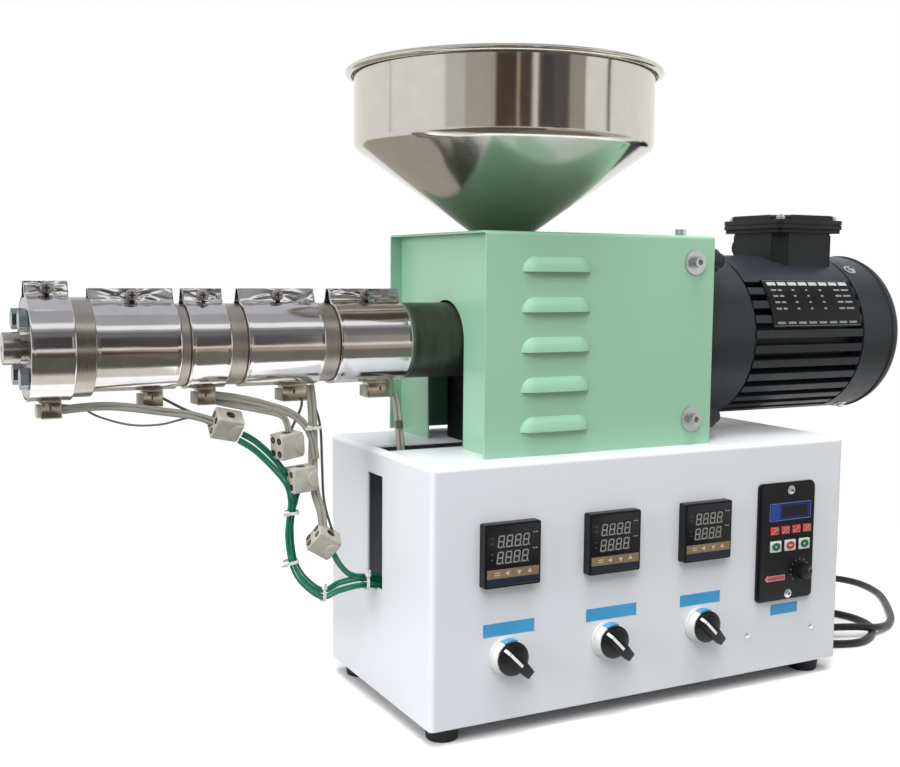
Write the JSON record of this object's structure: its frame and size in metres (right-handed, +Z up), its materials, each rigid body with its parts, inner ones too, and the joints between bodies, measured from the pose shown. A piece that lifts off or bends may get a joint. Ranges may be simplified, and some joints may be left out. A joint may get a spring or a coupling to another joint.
{
  "type": "bench-top single screw plastic extruder",
  "caption": "Bench-top plastic extruder: heated barrel with a die, stainless hopper, green cover and finned motor on a white control cabinet.",
  "frame": {"origin": "on the floor, under the middle of the machine's length and on the screw's vertical plane", "axes": "+X along the control panel from the die to the motor, +Y away from the panel, +Z up"},
  "size_m": [0.9138, 0.275, 0.5091],
  "materials": {
    "white_paint": "smooth white powder coat",
    "foot_rubber": "matt black rubber",
    "controller_plastic": "black moulded plastic with a smooth face",
    "speed_plastic": "black moulded plastic",
    "key_plastic": "red and white membrane keys",
    "knob_plastic": "black moulded plastic",
    "bezel_plastic": "pale grey moulded plastic",
    "green_paint": "pale green enamel",
    "zinc_steel": "zinc plated",
    "machined_steel": "turned steel",
    "barrel_steel": "turned steel, darkened by heat",
    "dark_steel": "dark oxide",
    "band_steel": "bright stainless strip",
    "hopper_steel": "mirror polished stainless sheet",
    "motor_paint": "blue-black satin paint on cast aluminium",
    "terminal_paint": "black moulded plastic",
    "nameplate_plastic": "plain dark foil plate",
    "connector_ceramic": "unglazed white ceramic",
    "lead_sleeve": "white woven glass sleeve",
    "sensor_sleeve": "green insulated wires",
    "tie_nylon": "white nylon",
    "cord_pvc": "black flexible sheath",
    "plug_plastic": "black moulded plastic"
  },
  "bodies": {
    "machine": {"cabinet_shell": "white_paint", "cabinet_rear_panel": "white_paint", "cabinet_base_plate": "white_paint", "rubber_feet": "foot_rubber", "temp_controller_1": "controller_plastic", "temp_controller_2": "controller_plastic", "temp_controller_3": "controller_plastic", "speed_controller": "speed_plastic", "speed_panel_keys": "key_plastic", "selector_bezels": "bezel_plastic", "cover_shell": "green_paint", "cover_end_plate": "green_paint", "cover_bolts": "zinc_steel", "motor_mount_plate": "dark_steel", "thrust_housing": "dark_steel", "feed_block": "dark_steel", "barrel": "barrel_steel", "die_head": "machined_steel", "die_nozzle": "machined_steel", "die_bolts": "zinc_steel", "heater_band_1": "band_steel", "heater_band_2": "band_steel", "heater_band_3": "band_steel", "heater_band_4": "band_steel", "heater_band_5": "band_steel", "hopper": "hopper_steel", "gear_case": "motor_paint", "motor_stator": "motor_paint", "motor_fan_cowl": "motor_paint", "motor_terminal_box": "terminal_paint", "motor_terminal_lid": "terminal_paint", "motor_nameplate": "nameplate_plastic", "ceramic_connectors": "connector_ceramic", "heater_leads": "lead_sleeve", "sensor_leads": "sensor_sleeve", "lead_ties": "tie_nylon", "cord_gland": "plug_plastic", "power_cord": "cord_pvc", "cord_coil": "cord_pvc", "power_plug": "plug_plastic"},
    "selector_1": {"selector_handle_1": "knob_plastic"},
    "selector_2": {"selector_handle_2": "knob_plastic"},
    "selector_3": {"selector_handle_3": "knob_plastic"},
    "speed_dial": {"speed_knob": "knob_plastic"}
  },
  "joints": [
    {"name": "selector_1_turn", "type": "hinge", "parent": "machine", "child": "selector_1", "pos_m": [-0.0505, -0.1145, 0.063], "axis": [0, 1, 0], "range_deg": [0, 90]},
    {"name": "selector_2_turn", "type": "hinge", "parent": "machine", "child": "selector_2", "pos_m": [0.041, -0.1145, 0.063], "axis": [0, 1, 0], "range_deg": [0, 90]},
    {"name": "selector_3_turn", "type": "hinge", "parent": "machine", "child": "selector_3", "pos_m": [0.1325, -0.1145, 0.063], "axis": [0, 1, 0], "range_deg": [0, 90]},
    {"name": "speed_dial_turn", "type": "hinge", "parent": "machine", "child": "speed_dial", "pos_m": [0.2355, -0.11, 0.0975], "axis": [0, 1, 0], "range_deg": [-150, 150]}
  ]
}
